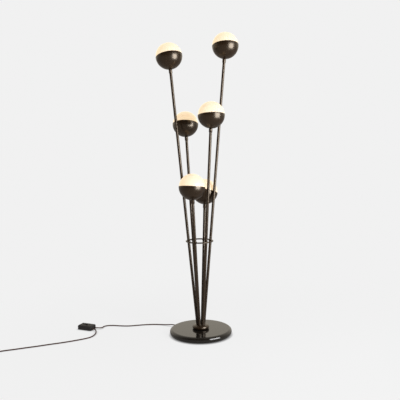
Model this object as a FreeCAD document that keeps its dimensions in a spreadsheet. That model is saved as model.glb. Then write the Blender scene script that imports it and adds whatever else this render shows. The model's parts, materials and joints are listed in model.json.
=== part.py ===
import FreeCAD, Part
import math
import os
import Sketcher
from FreeCAD import Placement, Rotation, Vector

# A tree floor lamp: a round weighted foot carries a turned hub, and six slim stems lean out of
# it like an open sheaf. A ring ties the stems together a third of the way up. Each stem ends in
# a ball: an opal glass globe in a metal cup that is set askew and turns about its stem. A
# fabric-covered lead leaves the foot, passes a dimmer that lies on the floor, and ends in a plug.
# The origin is on the floor under the hub, +Z is up, and +X is the viewer's right.

# ---------------------------------------------------------------- driving dimensions
# Millimetres and degrees. Each is written once, in the sheet, and every piece is bound to it.
DIMENSIONS = {
    # how the six stems stand
    "stem_lean": 5.1,
    "stance_turn": 6.0,
    "meet_radius": 18.0,
    # how high the middle of each globe is, tallest first
    "head_height_1": 1657.0,
    "head_height_2": 1598.0,
    "head_height_3": 1265.0,
    "head_height_4": 1225.0,
    "head_height_5": 870.0,
    "head_height_6": 830.0,
    # how far each cup is turned about its stem, from leaning straight outwards
    "head_turn_1": 114.0,
    "head_turn_2": -82.0,
    "head_turn_3": 164.0,
    "head_turn_4": -54.0,
    "head_turn_5": -179.0,
    "head_turn_6": -6.0,
    # stems
    "stem_radius": 8.0,
    "stem_wall": 1.5,
    "running_gap": 0.05,
    "seat_gap": 0.3,
    "wire_radius": 2.5,
    # heads
    "cup_radius": 75.0,
    "cup_wall": 1.2,
    "cup_tilt": 14.0,
    "globe_gap": 0.5,
    "glass_wall": 2.5,
    "globe_mouth_radius": 17.0,
    "neck_radius": 10.0,
    "neck_length": 20.0,
    "neck_overlap": 14.0,
    "neck_chamfer": 1.0,
    "nipple_radius": 5.0,
    "nipple_length": 12.0,
    "neck_wire_hole": 3.0,
    "holder_radius": 14.0,
    "holder_length": 38.0,
    "holder_floor": 14.0,
    "flange_reach": 4.0,
    "flange_thickness": 3.0,
    "bulb_cap_radius": 7.0,
    "bulb_cap_depth": 18.0,
    "bulb_radius": 22.5,
    "bulb_length": 50.0,
    # ring round the stems
    "ring_height": 551.0,
    "ring_bar_radius": 4.0,
    "ring_gap": 1.0,
    "clip_wall": 2.5,
    "clip_height": 10.0,
    # hub
    "hub_radius": 49.0,
    "hub_edge": 11.0,
    "hub_slope": 15.0,
    "seat_height": 10.0,
    "bolt_radius": 5.0,
    "bolt_grip": 8.0,
    "bolt_head_radius": 9.5,
    "bolt_head_height": 6.4,
    # foot
    "foot_radius": 180.5,
    "foot_height": 36.0,
    "foot_edge": 16.0,
    "shell_wall": 2.5,
    "shell_lip": 6.0,
    "hub_opening": 24.0,
    "felt_thickness": 2.0,
    "felt_margin": 2.0,
    "cover_thickness": 2.0,
    "cover_gap": 0.5,
    "clamp_radius": 34.0,
    "clamp_thickness": 3.0,
    "wire_hole_radius": 4.0,
    "weight_margin": 4.0,
    "weight_thickness": 18.0,
    "weight_hole": 46.0,
    "lead_channel": 9.0,
    "boss_radius": 7.0,
    "boss_inset": 18.0,
    "screw_radius": 2.0,
    "screw_head_radius": 4.0,
    "screw_head_height": 1.6,
    "screw_length": 20.0,
    # terminal block inside the foot
    "terminal_radius": 26.0,
    "terminal_height": 16.0,
    "terminal_depth": 6.0,
    # the lead, and where it leaves the foot
    "cord_radius": 3.0,
    "exit_turn": 140.0,
    "exit_height": 14.0,
    "gland_radius": 6.0,
    "gland_inside": 6.0,
    "gland_length": 28.0,
    "gland_nose_radius": 4.2,
    # dimmer on the floor
    "dimmer_length": 94.0,
    "dimmer_width": 58.0,
    "dimmer_height": 27.0,
    "dimmer_split": 12.0,
    "dimmer_wall": 2.2,
    "dimmer_chamfer": 5.0,
    "dimmer_corner": 6.0,
    "dimmer_turn": -23.0,
    "dimmer_x": -693.0,
    "dimmer_y": 127.0,
    "pad_height": 1.0,
    "pad_radius": 5.0,
    "pad_inset": 11.0,
    "post_radius": 3.5,
    "post_inset": 7.0,
    "post_screw_radius": 1.5,
    "post_screw_length": 16.0,
    "port_spacing": 28.0,
    "port_height": 10.0,
    "port_length": 5.0,
    "port_radius": 4.5,
    "slot_length": 48.0,
    "slot_width": 5.0,
    "slider_travel": 18.0,
    "slider_length": 14.0,
    "slider_width": 12.0,
    "slider_height": 5.0,
    "slider_stem_length": 10.0,
    "slider_gap": 0.3,
    "board_length": 66.0,
    "board_width": 42.0,
    "board_thickness": 1.6,
    "board_height": 8.0,
    "rest_radius": 2.5,
    "rest_inset": 5.0,
    "fader_length": 60.0,
    "fader_width": 9.0,
    "fader_height": 6.0,
    # coil of spare lead, and the plug
    "coil_x": -1134.0,
    "coil_y": -312.0,
    "coil_inner": 23.5,
    "coil_pitch": 6.5,
    "coil_start": 113.0,
    "coil_end": 180.0,
    "coil_straight": 8.0,
    "coil_tail": 42.0,
    "plug_length": 38.0,
    "plug_width": 34.0,
    "plug_corner": 5.0,
    "pin_radius": 2.0,
    "pin_length": 19.0,
    "pin_spacing": 19.0,
}

# Each head's place round the sheaf, in sixths of a turn, tallest first.
HEAD_PLACES = (0, 3, 5, 2, 4, 1)
HEADS = range(1, len(HEAD_PLACES) + 1)
COVER_SCREWS = 3
COIL_LAYER_TURNS = 3
COIL_STEPS_PER_TURN = 4

# The lead's way across the floor, from point to point, chosen by hand.
FLOOR_LEAD = (
    (-197.0, 163.0, 8.0),
    (-232.0, 180.0, 3.0),
    (-284.0, 190.0, 3.0),
    (-340.0, 186.0, 3.0),
    (-394.0, 175.0, 3.0),
    (-440.0, 163.0, 3.0),
    (-492.0, 168.0, 3.0),
    (-545.0, 182.0, 3.0),
    (-583.0, 176.0, 3.0),
    (-597.6, 157.1, 3.4),
    (-598.1, 135.6, 5.0),
    (-608.7, 118.4, 8.0),
)
MAINS_LEAD = (
    (-627.3, 72.0, 7.0),
    (-622.5, 48.0, 4.0),
    (-622.0, 18.0, 3.0),
    (-628.0, -14.0, 3.0),
    (-643.0, -42.0, 3.0),
    (-670.0, -62.0, 3.0),
    (-706.0, -84.0, 3.0),
    (-748.0, -106.0, 3.0),
    (-800.0, -130.0, 3.0),
    (-852.0, -150.5, 3.0),
    (-908.0, -176.0, 3.0),
    (-965.0, -197.5, 3.0),
    (-1020.0, -221.0, 3.0),
    (-1068.0, -238.5, 3.0),
    (-1106.0, -255.5, 3.0),
)
LEAD_END_RUN = 15.0

DOC = FreeCAD.newDocument("tree_floor_lamp")
SHEET = DOC.addObject("Spreadsheet::Sheet", "Sizes")
for row, (alias, number) in enumerate(DIMENSIONS.items(), start=1):
    SHEET.set(f"A{row}", alias)
    SHEET.set(f"B{row}", str(number))
    SHEET.setAlias(f"B{row}", alias)
DOC.recompute()

NODES = []

# Heights that several pieces share, worked out from the driving dimensions.
CEILING = "(foot_height - shell_wall)"
COVER_TOP = "(felt_thickness + cover_thickness)"
HUB_MIDDLE = "(foot_height + hub_edge)"
STEM_SEAT = "(foot_height + seat_height)"
RIM = "(foot_radius - foot_edge)"
COVER_EDGE = f"({RIM} - shell_lip - cover_gap)"
WEIGHT_EDGE = f"({COVER_EDGE} - weight_margin)"
BOSS_CIRCLE = f"({COVER_EDGE} - boss_inset)"
GLASS_OUTER = "(cup_radius - cup_wall - globe_gap)"
GLASS_INNER = f"({GLASS_OUTER} - glass_wall)"
STEM_SHORTFALL = "(cup_radius + neck_length - neck_overlap)"
UPPER_LAYER = "(cord_radius + coil_pitch)"
LEAN = "(stem_lean * 1 deg)"


def named(text):
    """Writes each alias in an expression as a reference to the sheet."""
    words = []
    word = ""
    for letter in str(text) + " ":
        if letter.isalnum() or letter == "_":
            word += letter
            continue
        words.append(f"Sizes.{word}" if word in DIMENSIONS else word)
        words.append(letter)
        word = ""
    return "".join(words).strip()


def size(text):
    """The value of an expression over the sheet's aliases."""
    value = SHEET.evalExpression(named(text))
    return float(getattr(value, "Value", value))


def bind(piece, **expressions):
    """Binds a piece's properties to expressions; __ stands for the dot in a property's path."""
    for path, text in expressions.items():
        piece.setExpression(path.replace("__", "."), named(text))
    return piece


def node(piece, label, placement=None):
    """Names a finished sub-part, puts it in its place and lists it for writing."""
    piece.Label = label
    if placement is not None:
        piece.Placement = placement
    NODES.append(piece)
    return piece


def swept_node(label, shape):
    """A sub-part whose shape is a sweep along a route that no sketch gives."""
    piece = DOC.addObject("Part::Feature", label)
    piece.Shape = shape
    return node(piece, label)


# ---------------------------------------------------------------- shared builders
def cylinder(name, radius, height, x=0, y=0, z=0):
    piece = DOC.addObject("Part::Cylinder", name)
    bind(piece, Radius=radius, Height=height)
    return bind(piece, Placement__Base__x=x, Placement__Base__y=y, Placement__Base__z=z)


def rod(name, radius, length, placement):
    """A cylinder that lies along a given placement's own Z."""
    piece = DOC.addObject("Part::Cylinder", name)
    bind(piece, Radius=radius, Height=length)
    piece.Placement = placement
    return piece


def block(name, length, width, height, x=0, y=0, z=0):
    """A box that stands on z, centred on x and y."""
    piece = DOC.addObject("Part::Box", name)
    bind(piece, Length=length, Width=width, Height=height)
    bind(piece, Placement__Base__x=f"{x} - ({length}) / 2")
    return bind(piece, Placement__Base__y=f"{y} - ({width}) / 2", Placement__Base__z=z)


def cut(name, base, tools):
    """The base with every tool taken out of it."""
    for count, tool in enumerate(tools, start=1):
        piece = DOC.addObject("Part::Cut", f"{name}_{count}")
        piece.Base = base
        piece.Tool = tool
        base = piece
    return base


def together(name, pieces):
    """One shape of several: joined where they touch, a group of solids where they don't."""
    piece = DOC.addObject("Part::MultiFuse", name)
    piece.Shapes = pieces
    return piece


def on_plane(body, name, role):
    """An empty sketch on one of its own body's origin planes."""
    sketch = body.newObject("Sketcher::SketchObject", name)
    plane = next(f for f in body.Origin.OriginFeatures if f.Role == role)
    sketch.AttachmentSupport = (plane, [""])
    sketch.MapMode = "FlatFace"
    return sketch


def draw(sketch, corners):
    """Draws a closed outline through its corners and fixes it to the sheet. A corner is
    (across, up), or (across, up, radius, side) where an arc arrives there: side is 1 where it
    bulges to the right of its way, and -1 to the left."""
    spots = [Vector(size(c[0]), size(c[1]), 0) for c in corners]
    for index, corner in enumerate(corners):
        start, end = spots[index - 1], spots[index]
        if len(corner) == 2:
            sketch.addGeometry(Part.LineSegment(start, end))
            continue
        radius = size(corner[2])
        chord = end - start
        across = Vector(chord.y, -chord.x, 0).normalize() * corner[3]
        rise = radius - math.sqrt(max(radius**2 - (chord.Length / 2) ** 2, 0.0))
        sketch.addGeometry(Part.Arc(start, (start + end) / 2 + across * rise, end))
    for index, corner in enumerate(corners):
        following = (index + 1) % len(corners)
        here = end_at(sketch, index, spots[index])
        there = end_at(sketch, following, spots[index])
        sketch.addConstraint(Sketcher.Constraint("Coincident", index, here, following, there))
        fix(sketch, Sketcher.Constraint("DistanceX", -1, 1, index, here, size(corner[0])), corner[0])
        fix(sketch, Sketcher.Constraint("DistanceY", -1, 1, index, here, size(corner[1])), corner[1])
        if len(corner) == 4:
            fix(sketch, Sketcher.Constraint("Radius", index, size(corner[2])), corner[2])


def end_at(sketch, index, spot):
    """Which end of an edge lies on a spot: 1 for its start, 2 for its end."""
    start_gap = (sketch.getPoint(index, 1) - spot).Length
    return 1 if start_gap < (sketch.getPoint(index, 2) - spot).Length else 2


def fix(sketch, constraint, text):
    row = sketch.addConstraint(constraint)
    sketch.setExpression(f"Constraints[{row}]", named(text))


def turned(name, corners):
    """A body turned about Z from its half outline."""
    body = DOC.addObject("PartDesign::Body", name)
    sketch = on_plane(body, name + "_outline", "XZ_Plane")
    draw(sketch, corners)
    turn = body.newObject("PartDesign::Revolution", name + "_turn")
    turn.Profile = sketch
    turn.ReferenceAxis = (sketch, ["V_Axis"])
    turn.Angle = 360
    return body


def moulded(name, length, width, height, corner, chamfer=None, z=0):
    """A rounded block that stands on z: a padded rectangle, its upright edges filleted, and its
    top edge chamfered where a chamfer is given."""
    body = DOC.addObject("PartDesign::Body", name)
    sketch = on_plane(body, name + "_outline", "XY_Plane")
    left, near = f"0 - ({length}) / 2", f"0 - ({width}) / 2"
    right, far = f"({length}) / 2", f"({width}) / 2"
    draw(sketch, [(left, near), (right, near), (right, far), (left, far)])
    pad = body.newObject("PartDesign::Pad", name + "_pad")
    pad.Profile = sketch
    bind(pad, Length=height)
    DOC.recompute()
    fillet = body.newObject("PartDesign::Fillet", name + "_corners")
    fillet.Base = (pad, edges_where(pad.Shape, is_upright))
    bind(fillet, Radius=corner)
    DOC.recompute()
    if chamfer:
        bevel = body.newObject("PartDesign::Chamfer", name + "_bevel")
        top = fillet.Shape.BoundBox.ZMax
        bevel.Base = (fillet, edges_where(fillet.Shape, lambda edge: edge.BoundBox.ZMin > top - 0.01))
        bind(bevel, Size=chamfer)
    return bind(body, Placement__Base__z=z)


def edges_where(shape, wanted):
    return [f"Edge{i}" for i, edge in enumerate(shape.Edges, start=1) if wanted(edge)]


def is_upright(edge):
    box = edge.BoundBox
    return box.XLength < 0.01 and box.YLength < 0.01


# ---------------------------------------------------------------- the stems' lines
def stem_turn(number):
    """Direction in which a stem leans out, in degrees from +X."""
    return size("stance_turn") + HEAD_PLACES[number - 1] * 360.0 / len(HEAD_PLACES)


def along_stem(number, distance):
    """A placement with its Z along a stem, at a distance from where its line meets the floor."""
    way = Rotation(Vector(0, 0, 1), stem_turn(number)) * Rotation(Vector(0, 1, 0), size("stem_lean"))
    out = size(f"meet_radius - {HUB_MIDDLE} * tan({LEAN})")
    turn = math.radians(stem_turn(number))
    start = Vector(out * math.cos(turn), out * math.sin(turn), 0)
    return Placement(start + way.multVec(Vector(0, 0, distance)), way)


def at_height(height):
    """The distance along a stem's line at which it reaches a height."""
    return size(f"({height}) / cos({LEAN})")


def head_place(number):
    """The middle of a globe, Z along its stem."""
    return along_stem(number, at_height(f"head_height_{number}"))


def ring_radius():
    """Middle of the ring's bar, just outside the stems."""
    stem_line = f"(meet_radius + (ring_height - {HUB_MIDDLE}) * tan({LEAN}))"
    return f"({stem_line} + stem_radius + ring_gap + ring_bar_radius)"


# ---------------------------------------------------------------- foot
def make_foot():
    low = "(felt_thickness + foot_edge)"
    high = "(foot_height - foot_edge)"
    inner_edge = "(foot_edge - shell_wall)"
    lip_top = "(felt_thickness + shell_wall)"
    shell = turned("foot_shell_form", [
        ("hub_opening", "foot_height"),
        ("hub_opening", CEILING),
        (RIM, CEILING),
        ("foot_radius - shell_wall", high, inner_edge, -1),
        ("foot_radius - shell_wall", low),
        (RIM, lip_top, inner_edge, -1),
        (f"{RIM} - shell_lip", lip_top),
        (f"{RIM} - shell_lip", "felt_thickness"),
        (RIM, "felt_thickness"),
        ("foot_radius", low, "foot_edge", 1),
        ("foot_radius", high),
        (RIM, "foot_height", "foot_edge", 1),
    ])
    gland_hole = rod("gland_hole", "gland_radius + running_gap", "foot_edge + gland_length", at_exit(RIM))
    node(cut("foot_shell", shell, [gland_hole]), "foot_shell")

    weight_low = f"({CEILING} - weight_thickness)"
    weight = [turned("weight_disc", [
        ("weight_hole", weight_low),
        (WEIGHT_EDGE, weight_low),
        (WEIGHT_EDGE, CEILING),
        ("weight_hole", CEILING),
    ])]
    cover = cylinder("cover_disc", COVER_EDGE, "cover_thickness", z="felt_thickness")
    felt = cylinder("felt_disc", f"{COVER_EDGE} - felt_margin", "felt_thickness")
    screws, screw_holes, cover_holes, felt_holes = [], [], [], []
    for index in range(COVER_SCREWS):
        x = f"{BOSS_CIRCLE} * cos({index * 360 / COVER_SCREWS} deg)"
        y = f"{BOSS_CIRCLE} * sin({index * 360 / COVER_SCREWS} deg)"
        weight.append(cylinder(
            f"boss_{index}", "boss_radius", f"{CEILING} - {COVER_TOP}", x, y, COVER_TOP))
        shank = cylinder(f"screw_shank_{index}", "screw_radius", "screw_length", x, y, "felt_thickness")
        head = cylinder(f"screw_head_{index}", "screw_head_radius", "screw_head_height",
                        x, y, "felt_thickness - screw_head_height")
        screws.append(together(f"screw_{index}", [shank, head]))
        hole = "screw_radius + running_gap"
        screw_holes.append(cylinder(f"screw_hole_{index}", hole, "screw_length + seat_gap", x, y, "felt_thickness"))
        cover_holes.append(cylinder(f"cover_hole_{index}", hole, "cover_thickness", x, y, "felt_thickness"))
        felt_holes.append(cylinder(
            f"felt_hole_{index}", "screw_head_radius + 1", "felt_thickness", x, y))
    channel = rod("lead_channel_form", "lead_channel / 2", f"{WEIGHT_EDGE} + 1", at_exit("0"))
    node(cut("foot_weight", together("weight_form", weight), [channel] + screw_holes), "foot_weight")
    node(cut("foot_cover", cover, cover_holes), "foot_cover")
    node(cut("foot_felt", felt, felt_holes), "foot_felt")
    node(together("cover_screws", screws), "cover_screws")

    gland = turned("cord_gland", [
        ("0", "foot_radius - shell_wall - gland_inside"),
        ("gland_radius", "foot_radius - shell_wall - gland_inside"),
        ("gland_radius", "foot_radius"),
        ("gland_nose_radius", "foot_radius + gland_length"),
        ("0", "foot_radius + gland_length"),
    ])
    node(gland, "cord_gland", at_exit("0"))


def at_exit(out):
    """A placement with its Z outwards along the lead's exit, at a distance from the lamp's axis."""
    way = Rotation(Vector(0, 0, 1), size("exit_turn")) * Rotation(Vector(0, 1, 0), 90)
    start = Vector(0, 0, size("exit_height"))
    return Placement(start + way.multVec(Vector(0, 0, size(out))), way)


def make_wiring():
    """The terminal block on the cover, six wires up the stems, and the lead inside the foot."""
    block_top = f"({COVER_TOP} + terminal_height)"
    entries = [rod("lead_entry", "cord_radius + seat_gap", "terminal_depth * 2",
                   at_exit("terminal_radius - terminal_depth"))]
    wires = [rod("foot_lead", "cord_radius",
                 "foot_radius - shell_wall - gland_inside - terminal_radius + terminal_depth - seat_gap",
                 at_exit("terminal_radius - terminal_depth + seat_gap"))]
    for number in HEADS:
        entry = along_stem(number, at_height(f"{block_top} - terminal_depth"))
        entries.append(rod(f"wire_entry_{number}", "wire_radius + seat_gap", "terminal_depth * 2", entry))
        start = at_height(f"{block_top} - terminal_depth") + size("seat_gap")
        length = f"head_height_{number} / cos({LEAN}) - cup_radius + nipple_length - {start}"
        wires.append(rod(f"wire_{number}", "wire_radius", length, along_stem(number, start)))
    disc = cylinder("terminal_disc", "terminal_radius", "terminal_height", z=COVER_TOP)
    node(cut("terminal_form", disc, entries), "terminal_block")
    node(together("wire_group", wires), "inner_wires")


# ---------------------------------------------------------------- hub
def make_hub():
    side = "(hub_radius - hub_edge)"
    slope = "(hub_slope * 1 deg)"
    dome = f"({side} / sin{slope} + hub_edge)"
    brow = f"({side} + hub_edge * sin{slope})"
    brow_height = f"({HUB_MIDDLE} + hub_edge * cos{slope})"
    bead = turned("hub_bead", [
        ("0", "foot_height"),
        (side, "foot_height"),
        ("hub_radius", HUB_MIDDLE, "hub_edge", 1),
        (brow, brow_height, "hub_edge", 1),
        ("0", f"{brow_height} + {dome} * (1 - cos{slope})", dome, 1),
    ])
    tools = [cylinder("bolt_hole", "bolt_radius + running_gap", "bolt_grip + seat_gap", z="foot_height")]
    plate_holes = [cylinder("plate_bolt_hole", "bolt_radius + running_gap", "clamp_thickness",
                            z=f"{CEILING} - clamp_thickness")]
    for number in HEADS:
        seat = along_stem(number, at_height(STEM_SEAT))
        tools.append(rod(f"socket_{number}", "stem_radius + running_gap", "hub_radius", seat))
        start = along_stem(number, at_height(f"{CEILING} - clamp_thickness * 2"))
        tools.append(rod(f"hub_wire_hole_{number}", "wire_hole_radius", "seat_height * 2", start))
        plate_holes.append(rod(f"plate_wire_hole_{number}", "wire_hole_radius", "clamp_thickness * 3", start))
    node(cut("hub", bead, tools), "hub")
    plate = cylinder("plate_disc", "clamp_radius", "clamp_thickness", z=f"{CEILING} - clamp_thickness")
    node(cut("clamp_plate", plate, plate_holes), "clamp_plate")
    head_low = f"{CEILING} - clamp_thickness - bolt_head_height"
    head = DOC.addObject("Part::Prism", "bolt_head")
    head.Polygon = 6
    bind(head, Circumradius="bolt_head_radius", Height="bolt_head_height", Placement__Base__z=head_low)
    shank = cylinder("bolt_shank", "bolt_radius", "shell_wall + clamp_thickness + bolt_grip",
                     z=f"{CEILING} - clamp_thickness")
    node(together("hub_bolt", [head, shank]), "hub_bolt")


# ---------------------------------------------------------------- stems and ring
def make_stems():
    for number in HEADS:
        length = f"(head_height_{number} - {STEM_SEAT}) / cos({LEAN}) - {STEM_SHORTFALL}"
        tube = cylinder(f"stem_outside_{number}", "stem_radius", length)
        bore = cylinder(f"stem_bore_{number}", "stem_radius - stem_wall", length)
        node(cut(f"stem_tube_{number}", tube, [bore]), f"stem_{number}",
             along_stem(number, at_height(STEM_SEAT)))


def make_ring():
    ring = DOC.addObject("Part::Torus", "stem_ring")
    bind(ring, Radius1=ring_radius(), Radius2="ring_bar_radius", Placement__Base__z="ring_height")
    node(ring, "stem_ring")
    groove = DOC.addObject("Part::Torus", "clip_groove")
    bind(groove, Radius1=ring_radius(), Radius2="ring_bar_radius + running_gap")
    bind(groove, Placement__Base__z="ring_height")
    clips = []
    for number in HEADS:
        low = along_stem(number, at_height("ring_height") - size("clip_height / 2"))
        collar = rod(f"clip_collar_{number}", "stem_radius + clip_wall", "clip_height", low)
        bore = rod(f"clip_bore_{number}", "stem_radius + running_gap", "clip_height", low)
        clips.append(cut(f"clip_{number}", collar, [bore]))
    node(cut("ring_clips", together("clip_forms", clips), [groove]), "ring_clips")


# ---------------------------------------------------------------- heads
def make_cup(number):
    """The lower half of a ball, set askew on its stem, with a hole where the stem comes in."""
    askew = Rotation(Vector(0, 1, 0), -size("cup_tilt"))
    outside = DOC.addObject("Part::Sphere", f"cup_outside_{number}")
    bind(outside, Radius="cup_radius")
    outside.Angle1 = -90
    outside.Angle2 = 0
    inside = DOC.addObject("Part::Sphere", f"cup_inside_{number}")
    bind(inside, Radius="cup_radius - cup_wall")
    deep = Vector(0, 0, -size("cup_radius + nipple_length"))
    hole = rod(f"cup_hole_{number}", "nipple_radius + seat_gap", "nipple_length * 2",
               Placement(askew.multVec(deep), askew))
    turn = Rotation(Vector(0, 0, 1), size(f"head_turn_{number}"))
    set_askew = turn * Rotation(Vector(0, 1, 0), size("cup_tilt"))
    place = head_place(number) * Placement(Vector(0, 0, 0), set_askew)
    node(cut(f"cup_form_{number}", outside, [inside, hole]), f"cup_{number}", place)


def make_globe(number):
    outside = DOC.addObject("Part::Sphere", f"globe_outside_{number}")
    bind(outside, Radius=GLASS_OUTER)
    inside = DOC.addObject("Part::Sphere", f"globe_inside_{number}")
    bind(inside, Radius=GLASS_INNER)
    mouth = cylinder(f"globe_mouth_{number}", "globe_mouth_radius", "cup_radius", z="0 - cup_radius")
    node(cut(f"globe_form_{number}", outside, [inside, mouth]), f"globe_{number}", head_place(number))


HOLDER_LOW = "(seat_gap - sqrt((cup_radius - cup_wall)^2 - holder_radius^2))"
HOLDER_TOP = f"({HOLDER_LOW} + holder_length)"


def make_lampholder(number):
    """A turned holder: it stands on the nipple, and its flange holds the glass by its mouth."""
    flange = "(globe_mouth_radius + flange_reach)"
    flange_low = f"(running_gap - sqrt({GLASS_INNER}^2 - {flange}^2))"
    socket = "bulb_cap_radius + seat_gap"
    holder = turned(f"lampholder_form_{number}", [
        ("nipple_radius + running_gap", HOLDER_LOW),
        ("holder_radius", HOLDER_LOW),
        ("holder_radius", flange_low),
        (flange, flange_low),
        (flange, f"{flange_low} + flange_thickness"),
        ("holder_radius", f"{flange_low} + flange_thickness"),
        ("holder_radius", HOLDER_TOP),
        (socket, HOLDER_TOP),
        (socket, f"{HOLDER_LOW} + holder_floor"),
        ("nipple_radius + running_gap", f"{HOLDER_LOW} + holder_floor"),
    ])
    node(holder, f"lampholder_{number}", head_place(number))


def make_bulb(number):
    bulb = turned(f"bulb_form_{number}", [
        ("0", f"{HOLDER_TOP} - bulb_cap_depth"),
        ("bulb_cap_radius", f"{HOLDER_TOP} - bulb_cap_depth"),
        ("bulb_cap_radius", f"{HOLDER_TOP} + seat_gap"),
        ("bulb_radius", f"{HOLDER_TOP} + bulb_length - bulb_radius"),
        ("0", f"{HOLDER_TOP} + bulb_length", "bulb_radius", 1),
    ])
    node(bulb, f"bulb_{number}", head_place(number))


def make_neck(number):
    """A turned collar that turns on the stem's end, with the nipple that carries the head."""
    low = "(0 - cup_radius - neck_length)"
    face = "(0 - sqrt(cup_radius^2 - nipple_radius^2) - running_gap)"
    bore = "(stem_radius + running_gap)"
    bore_top = f"(running_gap - {STEM_SHORTFALL})"
    neck = turned(f"neck_form_{number}", [
        (bore, low),
        ("neck_radius", low),
        ("neck_radius", f"{face} - neck_chamfer"),
        ("neck_radius - neck_chamfer", face),
        ("nipple_radius", face),
        ("nipple_radius", f"{face} + nipple_length"),
        ("neck_wire_hole", f"{face} + nipple_length"),
        ("neck_wire_hole", bore_top),
        (bore, bore_top),
    ])
    node(neck, f"neck_{number}", head_place(number))


# ---------------------------------------------------------------- dimmer
def in_dimmer():
    """The dimmer's own frame: on the floor, X along the box towards its leads."""
    way = Rotation(Vector(0, 0, 1), size("dimmer_turn"))
    return Placement(Vector(size("dimmer_x"), size("dimmer_y"), 0), way)


def four_places(inset, inset_across=None):
    """Four places, each as far in from the box's sides."""
    for along in (-1, 1):
        for across in (-1, 1):
            x = f"({along} * (dimmer_length / 2 - ({inset})))"
            yield x, f"({across} * (dimmer_width / 2 - ({inset_across or inset})))"


def port(name, side, gap="0"):
    """The short sleeve in which a lead goes in at the end of the box, or its seat with a gap."""
    sleeve = rod(name, f"port_radius + {gap}", "port_length + dimmer_wall",
                 Placement(Vector(0, 0, 0), Rotation(Vector(0, 1, 0), 90)))
    bind(sleeve, Placement__Base__x="dimmer_length / 2 - dimmer_wall")
    return bind(sleeve, Placement__Base__y=f"{side} * port_spacing / 2", Placement__Base__z="port_height")


def make_dimmer():
    inner_length = "dimmer_length - dimmer_wall * 2"
    inner_width = "dimmer_width - dimmer_wall * 2"
    inner_corner = "dimmer_corner - dimmer_wall"
    floor = "(pad_height + dimmer_wall)"
    lid = "(dimmer_height - dimmer_wall)"

    lower = moulded("lower_form", "dimmer_length", "dimmer_width", "dimmer_split - pad_height",
                    "dimmer_corner", z="pad_height")
    hollow = moulded("lower_hollow", inner_length, inner_width, "dimmer_split", inner_corner, z=floor)
    upper = moulded("upper_form", "dimmer_length", "dimmer_width", "dimmer_height - dimmer_split",
                    "dimmer_corner", "dimmer_chamfer", z="dimmer_split")
    hood = moulded("upper_hollow", inner_length, inner_width, f"{lid} - dimmer_split",
                   inner_corner, "dimmer_chamfer - dimmer_wall", z="dimmer_split")
    slot = block("slot", "slot_length", "slot_width", "dimmer_height", z="dimmer_split")

    lower_posts, upper_posts, holes, sunk, screws, pads = [], [], [], [], [], []
    for index, (x, y) in enumerate(four_places("post_inset")):
        lower_posts.append(cylinder(f"lower_post_{index}", "post_radius",
                                    "dimmer_split - pad_height", x, y, "pad_height"))
        upper_posts.append(cylinder(f"upper_post_{index}", "post_radius",
                                    "dimmer_height - dimmer_split - dimmer_chamfer / 2",
                                    x, y, "dimmer_split"))
        holes.append(cylinder(f"post_hole_{index}", "post_screw_radius + running_gap",
                              "post_screw_length + seat_gap", x, y, "pad_height"))
        sunk.append(cylinder(f"sunk_{index}", "post_radius - dimmer_wall / 4", "dimmer_wall / 2",
                             x, y, "pad_height"))
        shank = cylinder(f"post_shank_{index}", "post_screw_radius", "post_screw_length", x, y, "pad_height")
        head = cylinder(f"post_head_{index}", "post_radius - dimmer_wall / 4 - running_gap",
                        "dimmer_wall / 2 - running_gap", x, y, "pad_height")
        screws.append(together(f"post_screw_{index}", [shank, head]))
    for index, (x, y) in enumerate(four_places("pad_inset + pad_radius")):
        pads.append(cylinder(f"pad_{index}", "pad_radius", "pad_height", x, y))
    for index, (x, y) in enumerate(four_places("dimmer_length / 2 - board_length / 2 + rest_inset",
                                               "dimmer_width / 2 - board_width / 2 + rest_inset")):
        lower_posts.append(cylinder(f"board_rest_{index}", "rest_radius", "board_height - pad_height",
                                    x, y, "pad_height"))

    tray = cut("lower_tray", lower, [hollow])
    ports = [port("lamp_port", 1), port("mains_port", -1)]
    port_seats = [port("lamp_port_seat", 1, "running_gap"), port("mains_port_seat", -1, "running_gap")]
    lower_all = together("lower_with_posts", [tray] + ports + lower_posts)
    node(cut("lower_shell", lower_all, holes + sunk), "dimmer_lower_shell", in_dimmer())
    cap = cut("upper_cap", upper, [hood, slot])
    upper_all = together("upper_with_posts", [cap] + upper_posts)
    node(cut("upper_shell", upper_all, holes + port_seats), "dimmer_upper_shell", in_dimmer())
    node(together("post_screws", screws), "dimmer_screws", in_dimmer())
    node(together("pad_group", pads), "dimmer_pads", in_dimmer())

    board = block("board", "board_length", "board_width", "board_thickness", z="board_height")
    fader = block("fader", "fader_length", "fader_width", "fader_height",
                  z="board_height + board_thickness")
    node(together("board_with_fader", [board, fader]), "dimmer_board", in_dimmer())
    knob = block("knob", "slider_length", "slider_width", "slider_height", z="dimmer_height + slider_gap")
    neck_low = "(board_height + board_thickness + fader_height + seat_gap)"
    neck = block("knob_neck", "slider_stem_length", "slot_width - slider_gap * 2",
                 f"dimmer_height + slider_gap * 2 - {neck_low}", z=neck_low)
    node(together("knob_with_neck", [knob, neck]), "dimmer_slider", in_dimmer())


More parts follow.
